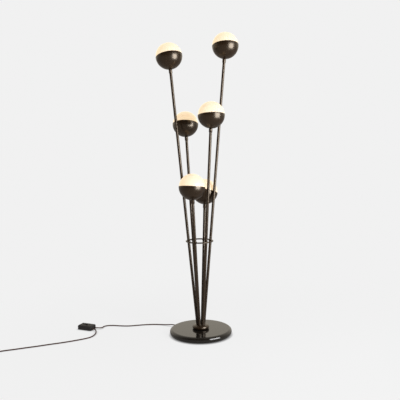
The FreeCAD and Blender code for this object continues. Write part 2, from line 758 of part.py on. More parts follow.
# ---------------------------------------------------------------- the lead
def rounded_path(label, points):
    """Straight runs joined by tangent arcs; each arc takes up most of half the shorter run."""
    pieces, here, radii = [], points[0], []
    for before, corner, after in zip(points, points[1:], points[2:]):
        way_in = (corner - before).normalize()
        way_out = (after - corner).normalize()
        half_turn = way_in.getAngle(way_out) / 2
        reach = 0.45 * min((corner - before).Length, (after - corner).Length)
        radius = reach / math.tan(half_turn)
        radii.append(radius)
        start, end = corner - way_in * reach, corner + way_out * reach
        inward = (way_out - way_in).normalize()
        middle = corner + inward * (radius / math.cos(half_turn) - radius)
        pieces.append(Part.LineSegment(here, start))
        pieces.append(Part.Arc(start, middle, end))
        here = end
    pieces.append(Part.LineSegment(here, points[-1]))
    print(f"{label}: {len(radii)} bends, tightest radius {min(radii):.1f} mm")
    return Part.Wire([piece.toShape() for piece in pieces])


def tube(label, path):
    """A round solid along a path, its volume compared with its section times its length."""
    radius = size("cord_radius")
    first = path.Edges[0]
    start = first.valueAt(first.FirstParameter)
    ring = Part.Circle(start, first.tangentAt(first.FirstParameter), radius).toShape()
    solid = path.makePipeShell([Part.Wire([ring])], True, False)
    expected = math.pi * radius**2 * path.Length
    print(f"{label}: length {path.Length:.0f} mm, volume {solid.Volume / expected:.4f} of the expected")
    return solid


def port_end(side):
    """The middle of a port's end face, and the way the lead leaves it."""
    place = in_dimmer()
    face = Vector(size("dimmer_length / 2 + port_length"), size(f"{side} * port_spacing / 2"),
                  size("port_height"))
    return place.multVec(face), place.Rotation.multVec(Vector(1, 0, 0))


def coil_point(angle):
    """A point on the coil's middle line and its way there. The angle runs from the reversal,
    where the lead stops spiralling in, climbs onto itself, and starts to spiral out."""
    turn = angle + math.radians(size("coil_start"))
    side = (angle > 0) - (angle < 0)
    rate = size("coil_pitch") / math.tau
    radius = size("coil_inner") + rate * abs(angle)
    climb = min(max(angle + math.pi / 2, 0.0), math.pi)
    rise = size("coil_pitch") / 2
    height = size("cord_radius") + rise * (1 - math.cos(climb))
    outwards = Vector(math.cos(turn), math.sin(turn), 0)
    along = Vector(-math.sin(turn), math.cos(turn), 0)
    middle = Vector(size("coil_x"), size("coil_y"), height)
    way = outwards * (rate * side) + along * radius + Vector(0, 0, rise * math.sin(climb))
    return middle + outwards * radius, way.normalize()


def coil_angles():
    """Where the coil starts and ends, counted from its reversal."""
    first = -COIL_LAYER_TURNS * math.tau
    last = COIL_LAYER_TURNS * math.tau + math.radians(size("coil_end - coil_start"))
    return first, last


def arc_through(start, way, end):
    """The arc that leaves a point along a way and reaches another."""
    chord = end - start
    angle = way.getAngle(chord)
    aside = (way - chord * (way.dot(chord) / chord.Length**2)).normalize()
    middle = start + chord / 2 + aside * (chord.Length / 2 * math.tan(angle / 2))
    return Part.Arc(start, middle, end)


def biarc(start, way_in, end, way_out):
    """Two arcs that meet smoothly, from one point and way to another."""
    chord = end - start
    both = way_in + way_out
    spread = 2 * (1 - way_in.dot(way_out))
    leaning = chord.dot(both)
    reach = (math.sqrt(leaning**2 + spread * chord.dot(chord)) - leaning) / spread
    joint = (start + way_in * reach + end - way_out * reach) / 2
    return [arc_through(start, way_in, joint), arc_through(end, way_out * -1, joint)]


def coil_path():
    first, last = coil_angles()
    inward_steps = COIL_LAYER_TURNS * COIL_STEPS_PER_TURN
    outward_steps = round(last / math.tau * COIL_STEPS_PER_TURN)
    angles = [first * (1 - step / inward_steps) for step in range(inward_steps)]
    angles += [last * step / outward_steps for step in range(outward_steps + 1)]
    stations = [coil_point(angle) for angle in angles]
    begin, begin_way = stations[0] = level(stations[0])
    finish, finish_way = stations[-1] = level(stations[-1])
    pieces = [Part.LineSegment(begin - begin_way * size("coil_straight"), begin)]
    for (start, way_in), (end, way_out) in zip(stations, stations[1:]):
        pieces += biarc(start, way_in, end, way_out)
    pieces.append(Part.LineSegment(finish, finish + finish_way * size("coil_tail")))
    return Part.Wire([piece.toShape() for piece in pieces])


def level(station):
    """A station of the coil, its way turned square to the line from the coil's middle."""
    point, way = station
    out = Vector(point.x - size("coil_x"), point.y - size("coil_y"), 0).normalize()
    return point, Vector(-out.y, out.x, 0)


def print_coil_gap():
    """Prints the least gap between turns of the coil, measured on points of its middle line."""
    first, last = coil_angles()
    steps = round((last - first) / math.radians(6))
    angles = [first + (last - first) * step / steps for step in range(steps + 1)]
    points = [coil_point(angle)[0] for angle in angles]
    apart = [(p - q).Length
             for i, p in enumerate(points) for j, q in enumerate(points[:i])
             if angles[i] - angles[j] > math.pi]
    print(f"cord_coil: least gap between turns {min(apart) - 2 * size('cord_radius'):.2f} mm")


def make_lead():
    out = at_exit("foot_radius + gland_length")
    away = out.Rotation.multVec(Vector(0, 0, 1))
    lamp_port, port_way = port_end(1)
    mains_port, _ = port_end(-1)
    to_dimmer = [out.Base, out.Base + away * LEAD_END_RUN]
    to_dimmer += [Vector(*spot) for spot in FLOOR_LEAD]
    to_dimmer += [lamp_port + port_way * LEAD_END_RUN, lamp_port]
    swept_node("cord_to_dimmer", tube("cord_to_dimmer", rounded_path("cord_to_dimmer", to_dimmer)))
    coil = coil_path()
    start = coil.Edges[0].valueAt(coil.Edges[0].FirstParameter)
    way = coil.Edges[0].tangentAt(coil.Edges[0].FirstParameter)
    to_coil = [mains_port, mains_port + port_way * LEAD_END_RUN]
    to_coil += [Vector(*spot) for spot in MAINS_LEAD]
    to_coil += [start - way * LEAD_END_RUN, start]
    swept_node("cord_to_coil", tube("cord_to_coil", rounded_path("cord_to_coil", to_coil)))
    swept_node("cord_coil", tube("cord_coil", coil))
    print_coil_gap()


def make_plug():
    """A plain two-pin plug that lies on the floor at the end of the lead."""
    point, way = level(coil_point(coil_angles()[1]))
    back = point + way * size("coil_tail")
    turn = Rotation(Vector(1, 0, 0), way)
    centre = back + way * size("plug_length / 2")
    place = Placement(Vector(centre.x, centre.y, 0), turn)
    body = moulded("plug_form", "plug_length", "plug_width", f"{UPPER_LAYER} * 2", "plug_corner")
    holes, pins = [], []
    for side in (-1, 1):
        spot = Vector(0, side * size("pin_spacing / 2"), size(UPPER_LAYER))
        along = Placement(spot, Rotation(Vector(0, 1, 0), 90))
        holes.append(rod(f"pin_hole_{side + 1}", "pin_radius + running_gap", "plug_length", along))
        pins.append(rod(f"pin_{side + 1}", "pin_radius", "plug_length / 2 + pin_length", along))
    node(cut("plug_drilled", body, holes), "plug_body", place)
    node(together("pin_group", pins), "plug_pins", place)


# ---------------------------------------------------------------- build and write
make_foot()
make_wiring()
make_hub()
make_stems()
make_ring()
for head in HEADS:
    make_cup(head)
    make_globe(head)
    make_lampholder(head)
    make_bulb(head)
    make_neck(head)
make_dimmer()
make_lead()
make_plug()
DOC.recompute()

for thing in DOC.Objects:
    if {"Invalid", "Error"} & set(thing.State):
        raise RuntimeError(f"{thing.Name} did not build: {thing.State}")
os.makedirs("parts", exist_ok=True)
for piece in NODES:
    if piece.Shape.isNull() or not piece.Shape.isValid() or not piece.Shape.Solids:
        raise RuntimeError(f"{piece.Label} has no sound solid")
    piece.Shape.exportStep(f"parts/{piece.Label}.step")
    box = piece.Shape.BoundBox
    print(f"{piece.Label}: {len(piece.Shape.Solids)} solids, {piece.Shape.Volume / 1000:.1f} cm3, "
          f"z {box.ZMin:.1f} to {box.ZMax:.1f}")
print(len(NODES), "nodes written")
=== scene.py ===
# %% [markdown]
# # A tree floor lamp
# A round foot carries a turned hub, and six slim stems lean out of it like an open sheaf. A ring
# ties them together, and each ends in an opal glass ball that sits in a metal cup. The cups are
# set askew and turn about their stems. A fabric-covered lead runs over the floor to a dimmer and
# on to a coil and a plug outside the picture.
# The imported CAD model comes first. It is the frame: every piece made below goes where it says.

# %% Load the frame
import json
import math

import bmesh
import bpy
from mathutils import Matrix, Vector


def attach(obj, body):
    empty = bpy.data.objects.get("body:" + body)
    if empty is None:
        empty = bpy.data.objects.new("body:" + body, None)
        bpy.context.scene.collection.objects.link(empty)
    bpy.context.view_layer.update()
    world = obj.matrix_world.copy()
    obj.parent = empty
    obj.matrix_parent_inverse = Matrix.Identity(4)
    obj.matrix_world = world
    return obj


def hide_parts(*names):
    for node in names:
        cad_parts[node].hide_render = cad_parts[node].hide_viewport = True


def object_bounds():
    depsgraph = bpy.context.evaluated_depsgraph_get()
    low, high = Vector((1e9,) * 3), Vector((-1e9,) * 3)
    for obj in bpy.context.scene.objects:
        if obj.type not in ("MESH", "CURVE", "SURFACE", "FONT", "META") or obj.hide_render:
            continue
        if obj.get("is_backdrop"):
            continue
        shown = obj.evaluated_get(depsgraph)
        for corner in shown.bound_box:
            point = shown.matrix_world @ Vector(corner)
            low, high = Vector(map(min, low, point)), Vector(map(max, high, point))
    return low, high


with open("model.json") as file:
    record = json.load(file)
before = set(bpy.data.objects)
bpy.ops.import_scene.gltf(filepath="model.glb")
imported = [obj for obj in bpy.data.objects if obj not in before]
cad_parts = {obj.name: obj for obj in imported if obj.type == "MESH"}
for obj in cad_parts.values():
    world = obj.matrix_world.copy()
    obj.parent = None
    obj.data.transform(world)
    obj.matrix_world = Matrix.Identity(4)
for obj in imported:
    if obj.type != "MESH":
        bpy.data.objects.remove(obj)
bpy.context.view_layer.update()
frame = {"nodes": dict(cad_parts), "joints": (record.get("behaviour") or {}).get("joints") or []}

MM = 0.001
joints = {joint["name"]: joint for joint in frame["joints"]}
scene = bpy.context.scene

# %% [markdown]
# ## The camera
# A camera is a pinhole: its place, its two tilts and its lens say where each point lands. It could
# be moved by hand until the picture looks right. Here the values come from a fit of the lamp's
# forms to their outlines in the photograph, which also gives the lamp's proportions. The lamp
# stands a little left of the middle, so the camera needs no shift.

# %% Camera
PITCH, ROLL = math.radians(5.2), math.radians(-0.835)
CAMERA_AT = Vector((6.1, -3252.7, 1084.2)) * MM
SENSOR, FOCAL_PIXELS, PICTURE_PIXELS = 36.0, 569.8, 400
forward = Vector((0, math.cos(PITCH), -math.sin(PITCH)))
level_right = Vector((1, 0, 0))
level_up = Vector((0, math.sin(PITCH), math.cos(PITCH)))
camera_right = level_right * math.cos(ROLL) + level_up * math.sin(ROLL)
camera_up = level_up * math.cos(ROLL) - level_right * math.sin(ROLL)
camera = bpy.data.objects.new("camera", bpy.data.cameras.new("camera"))
camera.data.sensor_width = SENSOR
camera.data.lens = FOCAL_PIXELS / PICTURE_PIXELS * SENSOR
turned = Matrix((camera_right, camera_up, -forward)).transposed().to_4x4()
camera.matrix_world = Matrix.Translation(CAMERA_AT) @ turned
scene.collection.objects.link(camera)
scene.camera = camera
print("lens:", round(camera.data.lens, 1), "mm")

# %% [markdown]
# ## The lead
# The lead is 6 mm thick, fabric-covered and fairly limp. It leaves the foot at the back left,
# lies in slow curves to the dimmer, leaves that again, and sweeps forward out of the picture to
# the left. Its spare length is wound into a flat coil of two layers just outside the view.
# A curve could be drawn through sampled points, but that looks like bent wire. A NURBS spline of
# order 3 needs only the corners of the route, and it never kinks.

# %% The lead's route, in millimetres
CORD = 6.0
AT_GLAND = (-159.7, 134.0, 14.0)
AT_LAMP_PORT = (-639.7, 119.6, 10.0)
AT_MAINS_PORT = (-650.6, 93.8, 10.0)
FLOOR_LEAD = [
    AT_GLAND, (-171.2, 143.7, 14.0), (-197.0, 163.0, 8.0), (-232.0, 180.0, 3.0),
    (-284.0, 190.0, 3.0), (-340.0, 186.0, 3.0), (-394.0, 175.0, 3.0), (-440.0, 163.0, 3.0),
    (-492.0, 168.0, 3.0), (-545.0, 182.0, 3.0), (-583.0, 176.0, 3.0), (-597.6, 157.1, 3.4),
    (-598.1, 135.6, 5.0), (-608.7, 118.4, 8.0), (-625.9, 113.7, 10.0), AT_LAMP_PORT,
]
MAINS_LEAD = [
    AT_MAINS_PORT, (-636.8, 87.9, 10.0), (-627.3, 72.0, 7.0), (-622.5, 48.0, 4.0),
    (-622.0, 18.0, 3.0), (-628.0, -14.0, 3.0), (-643.0, -42.0, 3.0), (-670.0, -62.0, 3.0),
    (-706.0, -84.0, 3.0), (-748.0, -106.0, 3.0), (-800.0, -130.0, 3.0), (-852.0, -150.5, 3.0),
    (-908.0, -176.0, 3.0), (-965.0, -197.5, 3.0), (-1020.0, -221.0, 3.0), (-1068.0, -238.5, 3.0),
    (-1106.0, -255.5, 3.0), (-1137.0, -266.6, 3.0),
]
print("route points:", len(FLOOR_LEAD), "and", len(MAINS_LEAD))

# %% The coil's turns
COIL_MIDDLE = Vector((-1134.0, -312.0, 0.0))
COIL_INNER, COIL_PITCH, COIL_TURNS = 23.5, 6.5, 3
COIL_START, COIL_END = math.radians(113), math.radians(180)
COIL_POINTS_PER_TURN = 12
PULLED_IN = math.cos(math.pi / COIL_POINTS_PER_TURN)
TAIL_BEND, TAIL_LENGTH = 14.0, 42.0


def coil_point(angle):
    """A control point of the coil, angle counted from where the spiral reverses and climbs."""
    radius = (COIL_INNER + COIL_PITCH * abs(angle) / math.tau) / PULLED_IN
    climb = min(max(angle + math.pi / 2, 0.0), math.pi)
    height = CORD / 2 + COIL_PITCH / 2 * (1 - math.cos(climb))
    turn = angle + COIL_START
    return COIL_MIDDLE + Vector((radius * math.cos(turn), radius * math.sin(turn), height))


first_angle = -COIL_TURNS * math.tau
last_angle = COIL_TURNS * math.tau + COIL_END - COIL_START
steps = round((last_angle - first_angle) / math.tau * COIL_POINTS_PER_TURN)
angles = [first_angle + (last_angle - first_angle) * step / steps for step in range(steps + 1)]
coil = [coil_point(angle) for angle in angles]
COIL_OUTER = COIL_INNER + COIL_PITCH * last_angle / math.tau
coil_end = COIL_MIDDLE + Vector((-COIL_OUTER, 0.0, CORD / 2 + COIL_PITCH))
AT_PLUG = coil_end + Vector((0.0, -TAIL_LENGTH, 0.0))
coil[-1] = coil_end
coil += [coil_end + Vector((0.0, -TAIL_BEND, 0.0)), AT_PLUG]
print("coil:", len(coil), "points")

# %% Two curves


def draw_cord(name, points):
    """A round NURBS curve with these control points, given in millimetres. Its thickness is the
    bevel's depth times each point's radius. A curve's box grows by the radius alone, so the
    radius holds the real size and the depth is 1."""
    data = bpy.data.curves.new(name, "CURVE")
    data.dimensions = "3D"
    data.bevel_depth = 1.0
    data.bevel_resolution = 4
    data.resolution_u = 6
    data.use_fill_caps = True
    spline = data.splines.new("NURBS")
    spline.points.add(len(points) - 1)
    for spot, point in zip(spline.points, points):
        spot.co = (*(Vector(point) * MM), 1.0)
        spot.radius = CORD / 2 * MM
    spline.order_u = 3
    spline.use_endpoint_u = True
    curve = bpy.data.objects.new(name, data)
    scene.collection.objects.link(curve)
    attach(curve, "stand")
    return curve


lead_to_dimmer = draw_cord("lead_to_dimmer", FLOOR_LEAD)
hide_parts("cord_to_dimmer")
lead_to_plug = draw_cord("lead_to_plug", MAINS_LEAD + coil)
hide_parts("cord_to_coil", "cord_coil")
print("leads:", lead_to_dimmer.name, lead_to_plug.name)

# %% [markdown]
# ## A way to write shaders
# Node trees get long when each maths node is made and linked by hand. One small class wraps a
# socket, so that an expression such as `1 - mask * 0.5` adds its own Math nodes. A second one
# holds a material and adds any node by its type.

# %% Shader helpers


class Wire:
    """A node's output. Arithmetic on it adds Math nodes to the same tree."""

    def __init__(self, tree, socket):
        self.tree, self.socket = tree, socket

    def _maths(self, operation, *inputs):
        return self.tree.add("ShaderNodeMath", {"operation": operation}, dict(enumerate(inputs)))

    def __add__(self, other):
        return self._maths("ADD", self, other)

    def __sub__(self, other):
        return self._maths("SUBTRACT", self, other)

    def __rsub__(self, other):
        return self._maths("SUBTRACT", other, self)

    def __mul__(self, other):
        return self._maths("MULTIPLY", self, other)

    __radd__, __rmul__ = __add__, __mul__

    def clamped(self):
        return self._maths("MINIMUM", self._maths("MAXIMUM", self, 0.0), 1.0)

    def out(self, name):
        """Another output of the same node."""
        return Wire(self.tree, self.socket.node.outputs[name])


class Tree:
    """The node tree of a material, a light or the world."""

    def __init__(self, owner):
        owner.use_nodes = True
        self.nodes, self.links = owner.node_tree.nodes, owner.node_tree.links
        self.nodes.clear()

    def add(self, kind, settings=None, sockets=None):
        """Adds a node. Settings come first, because some of them decide what sockets it has."""
        new = self.nodes.new(kind)
        for name, value in (settings or {}).items():
            setattr(new, name, value)
        for name, value in (sockets or {}).items():
            if isinstance(value, Wire):
                self.links.new(value.socket, new.inputs[name])
            else:
                new.inputs[name].default_value = value
        return Wire(self, next((s for s in new.outputs if s.enabled), None))

    def noise(self, vector, scale, detail=3.0):
        return self.add("ShaderNodeTexNoise", {}, {
            "Vector": vector, "Scale": scale, "Detail": detail})

    def mix(self, factor, a, b):
        """A colour between two, by a factor."""
        return self.add("ShaderNodeMix", {"data_type": "RGBA"}, {0: factor, 6: a, 7: b}).out(2)

    def bump(self, height, strength, distance):
        return self.add("ShaderNodeBump", {}, {
            "Height": height, "Strength": strength, "Distance": distance})


def material(name, paint, **fixed):
    """A Principled material. paint(tree, place) gives what changes over the surface; fixed
    values go straight onto the shader's sockets."""
    made = bpy.data.materials.new(name)
    tree = Tree(made)
    place = tree.add("ShaderNodeTexCoord").out("Object")
    sockets = {key.replace("_", " "): value for key, value in fixed.items()}
    sockets.update(paint(tree, place))
    shader = tree.add("ShaderNodeBsdfPrincipled", {}, sockets)
    tree.add("ShaderNodeOutputMaterial", {}, {"Surface": shader})
    return made


def shade(*levels):
    """A colour, written in the linear values that the shader takes."""
    return (*levels, 1.0)


def grey(level):
    return shade(level, level, level)


print("shader helpers ready")

# %% [markdown]
# ## The metal finishes
# Cups, stems, ring and hub are steel with a dark brown patina under a satin lacquer. The spot of
# light on each cup is nearly white, not brown. A bare metal would tint it fully, so this is a
# brown surface with a faintly amber film on it: not metallic, and its reflection only tinted.
# Noise in the colour keeps it cloudy, and fine noise in the roughness breaks the highlights up as
# a sprayed film does. The foot is polished: a black gloss enamel with hardly a ripple in it.

# %% Bronze and enamel


def paint_bronze(tree, place):
    cloud = tree.noise(place, 8.0, 3.0)
    grain = tree.noise(place, 900.0, 2.0)
    colour = tree.mix(cloud, shade(0.014, 0.007, 0.003), shade(0.026, 0.013, 0.006))
    return {
        "Base Color": colour,
        "Roughness": cloud * 0.04 + grain * 0.03 + 0.24,
        "Normal": tree.bump(grain, 0.03, 0.0002),
    }


def paint_enamel(tree, place):
    cloud = tree.noise(place, 6.0, 3.0)
    ripple = tree.noise(place, 60.0, 2.0)
    return {
        "Base Color": tree.mix(cloud, shade(0.008, 0.007, 0.006), shade(0.014, 0.012, 0.010)),
        "Roughness": cloud * 0.03 + 0.09,
        "Normal": tree.bump(ripple, 0.01, 0.0001),
    }


bronze = material("bronze", paint_bronze, Metallic=0.0, IOR=1.58,
                  Specular_Tint=shade(1.0, 0.86, 0.70))
enamel = material("black_enamel", paint_enamel, Metallic=0.0, IOR=1.5)
print("metal finishes:", bronze.name, enamel.name)

# %% [markdown]
# ## The opal glass
# Opal glass is white glass with a thin clear skin. Light from the bulb spreads in it until the
# whole ball glows, warm where only the bulb lights it and white where daylight adds to it. A real
# subsurface walk is slow and noisy at this size, so the glow is an emission that is strongest low
# down, where the bulb is, and the skin is a smooth coat over a white base. Each globe has its own
# copy of the finish, because the glow is centred on the globe. It fades over the globe's radius.

# %% Opal glass
GLOW_REACH = 0.0733


def opal_glass(number, centre):
    def paint(tree, place):
        moved = tree.add("ShaderNodeMapping", {}, {"Vector": place, "Location": -centre})
        parts = tree.add("ShaderNodeSeparateXYZ", {}, {"Vector": moved})
        height = (parts.out("Z") * (1 / GLOW_REACH)).clamped()
        cloud = tree.noise(moved, 25.0, 2.0)
        low = tree.mix(cloud, shade(1.0, 0.69, 0.34), shade(1.0, 0.72, 0.37))
        glow = tree.mix(height, low, shade(0.93, 0.62, 0.29))
        return {"Emission Color": glow, "Roughness": cloud * 0.04 + 0.16}

    return material(f"opal_glass_{number}", paint, Base_Color=shade(0.68, 0.66, 0.64),
                    Emission_Strength=0.72, Coat_Weight=0.2, Coat_Roughness=0.08)


print("opal glass is made globe by globe")

# %% [markdown]
# ## Fabric, plastics and the inner pieces
# The lead's cover is woven: two sets of threads cross it at a slant. A curve's own UV runs along
# and round it, so two sine waves on it make the weave. The dimmer, the plug and the gland are
# satin plastic. Inside pieces hardly show, but each still gets its own finish.

# %% Woven cover
PICKS_ALONG, PICKS_AROUND = 900.0, 75.0


def paint_braid(tree, place):
    uv = tree.add("ShaderNodeTexCoord").out("UV")
    parts = tree.add("ShaderNodeSeparateXYZ", {}, {"Vector": uv})
    along, around = parts.out("X") * PICKS_ALONG, parts.out("Y") * PICKS_AROUND
    over = tree.add("ShaderNodeMath", {"operation": "SINE"}, {0: along + around})
    under = tree.add("ShaderNodeMath", {"operation": "SINE"}, {0: along - around})
    weave = over * under * 0.5 + 0.5
    cloud = tree.noise(place, 40.0, 3.0)
    thread = tree.mix(cloud, shade(0.080, 0.020, 0.010), shade(0.125, 0.038, 0.020))
    return {
        "Base Color": tree.mix(weave * 0.6, thread, shade(0.030, 0.008, 0.005)),
        "Roughness": cloud * 0.1 + 0.75,
        "Normal": tree.bump(weave, 0.5, 0.0006),
    }


braid = material("braid", paint_braid, Specular_IOR_Level=0.2)
for lead in (lead_to_dimmer, lead_to_plug):
    lead.data.materials.append(braid)
print("woven cover:", braid.name)

# %% Plain finishes


def speckled(name, dark, light, low, high, size=120.0, **fixed):
    """A finish that only drifts between two colours and two roughnesses, with a fine bump."""

    def paint(tree, place):
        cloud = tree.noise(place, size, 3.0)
        return {
            "Base Color": tree.mix(cloud, shade(*dark), shade(*light)),
            "Roughness": cloud * (high - low) + low,
            "Normal": tree.bump(cloud, 0.08, 0.0003),
        }

    return material(name, paint, **fixed)


dimmer_black = speckled("dimmer_black", (0.034, 0.031, 0.031), (0.046, 0.042, 0.042), 0.5, 0.6,
                        Specular_IOR_Level=0.15)
satin_black = speckled("satin_black", (0.012, 0.012, 0.012), (0.022, 0.021, 0.021), 0.35, 0.5)
felt = speckled("felt", (0.010, 0.010, 0.010), (0.030, 0.028, 0.027), 0.85, 1.0, 900.0,
                Sheen_Weight=0.3)
cast_iron = speckled("cast_iron", (0.03, 0.03, 0.03), (0.09, 0.085, 0.08), 0.55, 0.75,
                     Metallic=0.6)
zinc = speckled("zinc_plate", (0.42, 0.42, 0.42), (0.58, 0.57, 0.55), 0.3, 0.45, Metallic=1.0)
steel = speckled("steel", (0.45, 0.45, 0.46), (0.60, 0.60, 0.60), 0.22, 0.36, Metallic=1.0)
white_plastic = speckled("white_plastic", (0.76, 0.74, 0.70), (0.84, 0.83, 0.79), 0.35, 0.5)
wire_jacket = speckled("wire_jacket", (0.36, 0.36, 0.35), (0.50, 0.50, 0.48), 0.5, 0.7)
board_green = speckled("board_green", (0.01, 0.10, 0.05), (0.02, 0.16, 0.08), 0.3, 0.45)
nickel = speckled("nickel", (0.60, 0.56, 0.46), (0.74, 0.70, 0.58), 0.18, 0.3, Metallic=1.0)
frosted = speckled("frosted_bulb", (0.86, 0.83, 0.76), (0.93, 0.90, 0.84), 0.3, 0.45)
print("plain finishes ready")

# %% Finishes for the CAD pieces that stay
HEADS = range(1, 7)
STAYING = {
    "foot_weight": cast_iron, "foot_cover": zinc, "foot_felt": felt, "cover_screws": steel,
    "terminal_block": white_plastic, "inner_wires": wire_jacket, "hub_bolt": steel,
    "clamp_plate": zinc, "dimmer_board": board_green, "dimmer_screws": steel,
    "dimmer_pads": felt, "plug_pins": nickel,
}
for number in HEADS:
    STAYING[f"lampholder_{number}"] = white_plastic
    STAYING[f"bulb_{number}"] = frosted


def finish_node(name, finish):
    """Puts a finish on a CAD node, whose shape stays as it is."""
    slots = frame["nodes"][name].data.materials
    slots.clear()
    slots.append(finish)


for name, finish in STAYING.items():
    finish_node(name, finish)
print(len(STAYING), "CAD pieces stay with a finish")

# %% [markdown]
# ## Turning on a lathe
# Most of this lamp is turned: foot, hub, necks, clips, cups. Such a piece could be a stack of
# cones, but one profile spun about an axis keeps the faces in clean rings. The profile is a few
# corners. Each corner that the maker rounded off is then bevelled by its own radius.

# %% Lathe helpers
SAME_PLACE, MERGE = 1e-5, 1e-7


def add_piece(name, mesh_builder, body, finish, replaced=()):
    """Makes an object from a bmesh and hands it to its body, with its finish and slot."""
    mesh = bpy.data.meshes.new(name)
    mesh_builder.to_mesh(mesh)
    mesh_builder.free()
    mesh.materials.append(finish)
    piece = bpy.data.objects.new(name, mesh)
    scene.collection.objects.link(piece)
    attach(piece, body)
    if replaced:
        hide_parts(*replaced)
    return piece


def round_off(builder, edges, width, segments):
    if edges:
        bmesh.ops.bevel(builder, geom=edges, offset=width, offset_type="OFFSET", segments=segments,
                        profile=0.5, affect="EDGES", clamp_overlap=True, material=-1)


def ring_edges(builder, radius, height):
    """The edges of the ring that a profile's corner left, for bevelling."""
    def on_ring(vert):
        return (abs(math.hypot(vert.co.x, vert.co.y) - radius) < SAME_PLACE
                and abs(vert.co.z - height) < SAME_PLACE)
    return [edge for edge in builder.edges if on_ring(edge.verts[0]) and on_ring(edge.verts[1])]


def lathe(corners, steps=96):
    """A bmesh spun from profile corners (radius, height, rounding) in millimetres. A profile
    that starts and ends on the axis stays open there, and any other is closed on itself."""
    builder = bmesh.new()
    verts = [builder.verts.new((corner[0] * MM, 0, corner[1] * MM)) for corner in corners]
    on_axis = corners[0][0] == 0 and corners[-1][0] == 0
    pairs = list(zip(verts, verts[1:])) + ([] if on_axis else [(verts[-1], verts[0])])
    edges = [builder.edges.new(pair) for pair in pairs]
    bmesh.ops.spin(builder, geom=verts + edges, cent=(0, 0, 0), axis=(0, 0, 1),
                   angle=math.tau, steps=steps, use_merge=True)
    bmesh.ops.remove_doubles(builder, verts=builder.verts[:], dist=MERGE)
    bmesh.ops.recalc_face_normals(builder, faces=builder.faces[:])
    for radius, height, *rounding in corners:
        if rounding:
            segments = max(2, min(12, round(rounding[0] * 2)))
            corner = ring_edges(builder, radius * MM, height * MM)
            round_off(builder, corner, rounding[0] * MM, segments)
    for face in builder.faces:
        face.smooth = True
    return builder


def placed(builder, place):
    bmesh.ops.transform(builder, matrix=place, verts=builder.verts[:])
    return builder


def merged(parts):
    """One bmesh of several, each left as its own closed shell."""
    whole = bmesh.new()
    for part in parts:
        mesh = bpy.data.meshes.new("part")
        part.to_mesh(mesh)
        part.free()
        whole.from_mesh(mesh)
        bpy.data.meshes.remove(mesh)
    return whole


def sharpen(piece, degrees=35):
    """Keeps edges crisp where faces meet at more than an angle, and smooth elsewhere."""
    limit = math.radians(degrees)
    builder = bmesh.new()
    builder.from_mesh(piece.data)
    for edge in builder.edges:
        edge.smooth = not (len(edge.link_faces) == 2 and edge.calc_face_angle() > limit)
    builder.to_mesh(piece.data)
    builder.free()
    return piece


print("lathe ready")

# %% [markdown]
# ## Where the stems stand
# All six stems lean out by the same angle from one hub, a sixth of a turn apart. The joints say
# where each head turns: their axis is the stem's line and their place is the globe's middle. So
# the frame gives the stems, and no number of theirs is copied. No joint holds the cups' tilt and
# the way that each faces, so these are written out.

# %% Stem frames
CUP_TILT = math.radians(14.0)
HEAD_TURNS = {1: 114.0, 2: -82.0, 3: 164.0, 4: -54.0, 5: -179.0, 6: -6.0}


def head_frame(number):
    """A matrix with its Z along the stem, its origin at the globe's middle, X leaning outwards."""
    joint = joints[f"head_{number}_turn"]
    upward = Vector(joint["axis"]).normalized()
    across = Vector((-upward.y, upward.x, 0)).normalized()
    outward = across.cross(upward)
    axes = Matrix((outward, across, upward)).transposed().to_4x4()
    return Matrix.Translation(Vector(joint["pos_m"])) @ axes


frames = {number: head_frame(number) for number in HEADS}
for number in HEADS:
    print("globe", number, "at", [round(v, 3) for v in frames[number].translation])

# %% [markdown]
# ## The foot
# A spun steel shell with a full round edge, open below, its thin lip turned in. It could be a
# bevelled disc, but a shell with its real wall lets the felt and the cover sit in it as they do.
# Two extra rings, close to the top's edges, keep its shading flat, as its reflection shows.

# %% Foot
FOOT_RADIUS, FOOT_TOP, FOOT_LOW = 180.5, 36.0, 2.0
EDGE, WALL, LIP, OPENING, OPENING_ROUNDING, FLAT_MARGIN = 16.0, 2.5, 6.0, 24.0, 0.6, 1.0
inner = FOOT_RADIUS - WALL
foot = add_piece("foot", lathe([
    (FOOT_RADIUS - EDGE - FLAT_MARGIN, FOOT_TOP),
    (OPENING + FLAT_MARGIN, FOOT_TOP),
    (OPENING, FOOT_TOP, OPENING_ROUNDING),
    (OPENING, FOOT_TOP - WALL),
    (inner, FOOT_TOP - WALL, EDGE - WALL),
    (inner, FOOT_LOW + WALL, EDGE - WALL),
    (FOOT_RADIUS - EDGE - LIP, FOOT_LOW + WALL),
    (FOOT_RADIUS - EDGE - LIP, FOOT_LOW),
    (FOOT_RADIUS, FOOT_LOW, EDGE),
    (FOOT_RADIUS, FOOT_TOP, EDGE),
], 160), "stand", enamel, ["foot_shell"])
sharpen(foot)
print("foot:", len(foot.data.polygons), "faces")

# %% [markdown]
# ## The hub
# One turned bead of steel with a rounded edge and a low domed top, which the stems go into. The
# stems cover their sockets, so the sockets need no holes here: each stem simply enters the dome.

